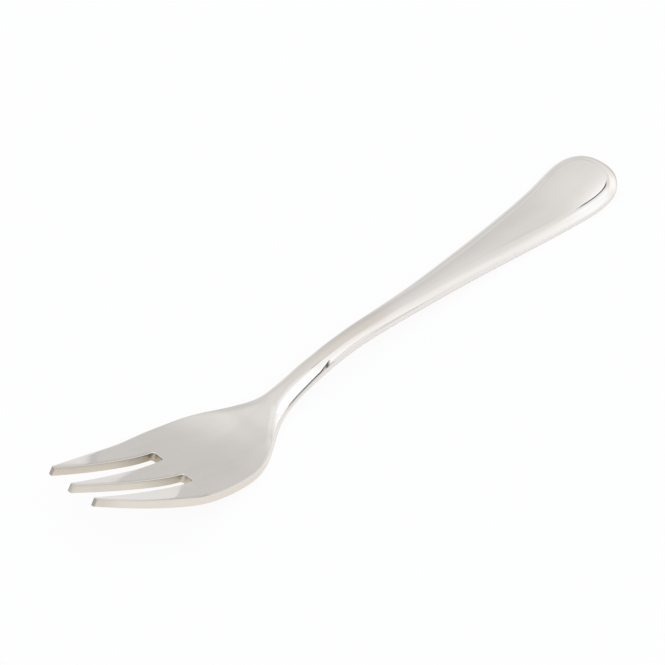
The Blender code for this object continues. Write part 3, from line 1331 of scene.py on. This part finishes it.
@dataclass(frozen=True)
class ReflectorWhite:
    """Finish of the reflector card: it glows with soft edges, and in glossy reflections only.

    Windows are in millimetres along the card's level axis and its leaning axis, and the glow falls
    to a share of itself along the level one.
    """

    name: str = "reflector_white"
    strength: float = 1.36
    level_edges: Window = (-42.0, 2.0, 170.0, 225.0)
    lean_edges: Window = (-72.0, -55.0, -4.0, 14.0)
    dimming: tuple[float, float, float] = (10.0, 85.0, 0.36)

    def build(self, centre: Vector, level: Vector, lean: Vector) -> bpy.types.Material:
        """The material.

        Args:
            centre: Where both axes start, in millimetres.
            level: Unit vector along the level axis.
            lean: Unit vector along the leaning axis.

        Returns:
            A glow that is clear to all but glossy rays.
        """
        material = bpy.data.materials.new(self.name)
        graph = Graph.of(material)
        place = graph.add("ShaderNodeTexCoord", output="Object")
        along, up = (
            graph.dot(place, tuple(axis / METRES_PER_MILLIMETRE)) - axis.dot(centre)
            for axis in (level, lean)
        )
        dim_start, dim_end, dim_share = self.dimming
        share = along.window(self.level_edges) * along.step(dim_start, dim_end, 1.0, dim_share)
        share = share * up.window(self.lean_edges) * graph.ray(Ray.GLOSSY)
        clear = graph.add("ShaderNodeBsdfTransparent")
        sockets = {"Color": (*WHITE, 1.0), "Strength": self.strength}
        glow = graph.add("ShaderNodeEmission", None, sockets)
        shown = graph.add("ShaderNodeMixShader", None, {0: share, 1: clear, 2: glow})
        graph.add("ShaderNodeOutputMaterial", None, {"Surface": shown})
        return material


@dataclass
class Reflector:
    """White card that stands off the handle's end and shows in polished metal only.

    Its extents are along a level axis and an axis that leans up and back from it.
    """

    centre: Size = (131.2, -35.1, 76.3)
    facing: Size = (0.622, -0.301, 0.723)
    level: tuple[float, float] = (-45.0, 230.0)
    lean: tuple[float, float] = (-75.0, 16.0)
    finish: ReflectorWhite = ReflectorWhite()

    def build(self) -> bpy.types.Object:
        """The card.

        Returns:
            Its object.
        """
        centre, facing = Vector(self.centre), Vector(self.facing)
        level = Vector((0.0, 0.0, 1.0)).cross(facing).normalized()
        lean = facing.cross(level).normalized()
        (left, right), (low, high) = self.level, self.lean
        corners = [
            centre + along * level + up * lean
            for along, up in ((left, low), (right, low), (right, high), (left, high))
        ]
        card = flat_sheet("reflector_card", corners, self.finish.build(centre, level, lean))
        return card


@dataclass(frozen=True)
class TableWhite:
    """Finish of the table top: white with a faint shadow, and a far edge dark in reflections."""

    name: str = "table_white"
    paint: Colour = (0.9, 0.9, 0.9)
    edge_colour: Colour = (0.1, 0.1, 0.1)
    edge_softness: float = 2.0
    glow: float = 0.9

    def build(self, away: Vector, edge: float) -> bpy.types.Material:
        """The material.

        Args:
            away: Unit vector from the camera to the far edge.
            edge: How far along it the dark edge starts, in millimetres.

        Returns:
            White paint for the light, and mostly a glow for what is seen.
        """
        material = bpy.data.materials.new(self.name)
        graph = Graph.of(material)
        paint = graph.add("ShaderNodeBsdfDiffuse", None, {"Color": (*self.paint, 1.0)})
        place = graph.add("ShaderNodeTexCoord", output="Object")
        deep = graph.dot(place, tuple(away)) / METRES_PER_MILLIMETRE
        dark = deep.step(edge - self.edge_softness, edge + self.edge_softness)
        colour = graph.mix(dark * graph.ray(Ray.GLOSSY), WHITE, self.edge_colour)
        glow = graph.add("ShaderNodeEmission", None, {"Color": colour, "Strength": 1.0})
        shown = {0: graph.seen() * self.glow, 1: paint, 2: glow}
        mixed = graph.add("ShaderNodeMixShader", None, shown)
        graph.add("ShaderNodeOutputMaterial", None, {"Surface": mixed})
        return material


@dataclass(frozen=True)
class Panel:
    """A soft light far off, which brightens directions about its own.

    Outer and inner are cosines of the angle to it, where its light begins and is full.
    """

    azimuth: float
    elevation: float
    outer: float
    inner: float
    gain: float

    def direction(self) -> Size:
        """Unit vector towards the panel.

        Returns:
            Its x, y and z.
        """
        azimuth, elevation = math.radians(self.azimuth), math.radians(self.elevation)
        level = math.cos(elevation)
        return (level * math.cos(azimuth), level * math.sin(azimuth), math.sin(elevation))

    def light(self, graph: Graph, direction: Term) -> Term:
        """Brightness that it adds in each direction."""
        cosine = graph.dot(direction, self.direction())
        return cosine.step(self.outer, self.inner, 0.0, self.gain)


@dataclass(frozen=True)
class RoomPart:
    """A soft-edged part of the room, where a direction's x, y and z are all in their windows."""

    x: Window = (*FROM_START, *TO_END)
    y: Window = (*FROM_START, *TO_END)
    z: Window = (*FROM_START, *TO_END)

    def share(self, x: Term, y: Term, z: Term) -> Term:
        """Share of the part in each direction."""
        return x.window(self.x) * y.window(self.y) * z.window(self.z)


@dataclass
class Studio:
    """White table top, soft studio light from all round, and the camera.

    The ceiling is where its light begins and is full, by the direction's height, and its gain.
    Gaps have the light that is left in them, and dull_parts the light that they take away.
    """

    azimuth: float = -46.07
    elevation: float = 44.275
    distance: float = 702.35
    focal_px: float = 3570.0
    sensor_width: float = 36.0
    clip: tuple[float, float] = (0.01, 20.0)
    left: float = 4.0
    above: float = 4.65
    table_right: tuple[float, float] = (-320.0, 74.0)
    table_depth: tuple[float, float] = (-320.0, 183.0)
    table_edge: float = 13.0
    table_finish: TableWhite = TableWhite()
    walls: float = 0.776
    ceiling: tuple[float, float, float] = (0.3, 1.34, 0.305)
    panels: tuple[Panel, ...] = (
        Panel(-95.5, 17.9, 0.18, 1.8, 1.15),
        Panel(-32.4, 49.6, 0.574, 0.676, 0.086),
        Panel(65.0, 5.0, 0.8, 0.9, 0.095),
        Panel(-39.5, 58.8, 0.978, 0.9986, 0.13),
        Panel(-62.0, 8.0, 0.975, 0.998, 0.06),
        Panel(96.0, 63.0, 0.985, 0.998, 0.02),
        Panel(-52.0, 48.0, 0.95, 0.99, 0.05),
        Panel(-32.0, 11.5, 0.955, 0.985, 0.3),
        Panel(50.0, 18.0, 0.96, 0.99, 0.06),
    )
    gaps: tuple[tuple[RoomPart, float], ...] = (
        (RoomPart((*FROM_START, 0.495, 0.525), (*FROM_START, -0.75, -0.45),
                  (*FROM_START, 0.03, 0.11)), 0.12),
        (RoomPart((0.27, 0.31, 0.4, 0.5), (-0.02, 0.05, 0.14, 0.3), (0.7, 0.8, *TO_END)), 0.0),
    )
    dull_parts: tuple[tuple[RoomPart, float], ...] = (
        (RoomPart(x=(0.66, 0.76, *TO_END), y=(0.48, 0.56, 0.66, 0.78)), 0.065),
        (RoomPart((0.5, 0.57, *TO_END), (0.6, 0.7, *TO_END), (*FROM_START, 0.42, 0.5)), 0.04),
    )
    cool_part: RoomPart = RoomPart(x=(*FROM_START, 0.36, 0.62), y=(*FROM_START, -0.2, 0.35))
    cool: Colour = (0.96, 1.0, 1.042)

    def level_axes(self) -> tuple[Vector, Vector]:
        """Level directions to the right of the picture and away from the camera.

        Returns:
            Two unit vectors.
        """
        azimuth = math.radians(self.azimuth)
        right = Vector((math.cos(azimuth), math.sin(azimuth), 0.0))
        return right, Vector((-math.sin(azimuth), math.cos(azimuth), 0.0))

    def build_camera(self) -> bpy.types.Object:
        """Camera on the sphere about the origin, moved sideways to frame the fork.

        Returns:
            Its object, which is the scene's camera.
        """
        elevation = math.radians(self.elevation)
        right, away = self.level_axes()
        back = Vector((0.0, 0.0, math.sin(elevation))) - math.cos(elevation) * away
        up = back.cross(right)
        data = bpy.data.cameras.new("camera")
        data.sensor_width = self.sensor_width
        data.lens = self.focal_px * data.sensor_width / PHOTO_SIDE_PX
        data.clip_start, data.clip_end = self.clip
        camera = bpy.data.objects.new("camera", data)
        place = (self.distance * back - self.left * right + self.above * up) * METRES_PER_MILLIMETRE
        turn = Matrix((right, up, back)).transposed().to_4x4()
        camera.matrix_world = Matrix.Translation(place) @ turn
        bpy.context.scene.collection.objects.link(camera)
        bpy.context.scene.camera = camera
        return camera

    def build_table(self) -> bpy.types.Object:
        """The table top, square to the camera.

        Returns:
            Its object.
        """
        right, away = self.level_axes()
        low, high = self.table_right
        front, edge = self.table_depth
        rear = edge + self.table_edge
        corners = [
            across * right + deep * away
            for across, deep in ((low, front), (high, front), (high, rear), (low, rear))
        ]
        table = flat_sheet("table_top", corners, self.table_finish.build(away, edge))
        return table

    def build_light(self) -> bpy.types.World:
        """Soft light by direction: pale walls, a lighter ceiling, panels and the gaps beside them.

        Returns:
            The world, which is plain white to the camera.
        """
        world = bpy.data.worlds.new("studio")
        bpy.context.scene.world = world
        graph = Graph.of(world)
        direction = graph.add("ShaderNodeTexCoord", output="Generated")
        axes = graph.axes(direction)
        low, high, gain = self.ceiling
        light = axes[2].step(low, high, self.walls, self.walls + gain)
        for panel in self.panels:
            light = light + panel.light(graph, direction)
        for gap, level in self.gaps:
            light = light + (level - light) * gap.share(*axes)
        for part, loss in self.dull_parts:
            light = light - part.share(*axes) * loss
        tint = graph.mix(self.cool_part.share(*axes), WHITE, self.cool)
        camera = graph.ray(Ray.CAMERA)
        sockets = {"Color": tint, "Strength": camera + (1.0 - camera) * light}
        glow = graph.add("ShaderNodeBackground", None, sockets)
        graph.add("ShaderNodeOutputWorld", None, {"Surface": glow})
        return world


def main() -> None:
    """Build the fork, the table, the light and the camera."""
    logging.basicConfig(level=logging.INFO, format="%(message)s")
    fork = Fork().build()
    fork.data.materials.append(PolishedSteel().build())
    LOG.info("%s: %d triangles", fork.name, len(fork.data.polygons))
    studio = Studio()
    LOG.info("%s", studio.build_table().name)
    LOG.info("%s", studio.build_light().name)
    LOG.info("%s", Reflector().build().name)
    LOG.info("%s", studio.build_camera().name)
    bpy.context.scene.view_settings.view_transform = "Standard"


if __name__ == "__main__":
    main()
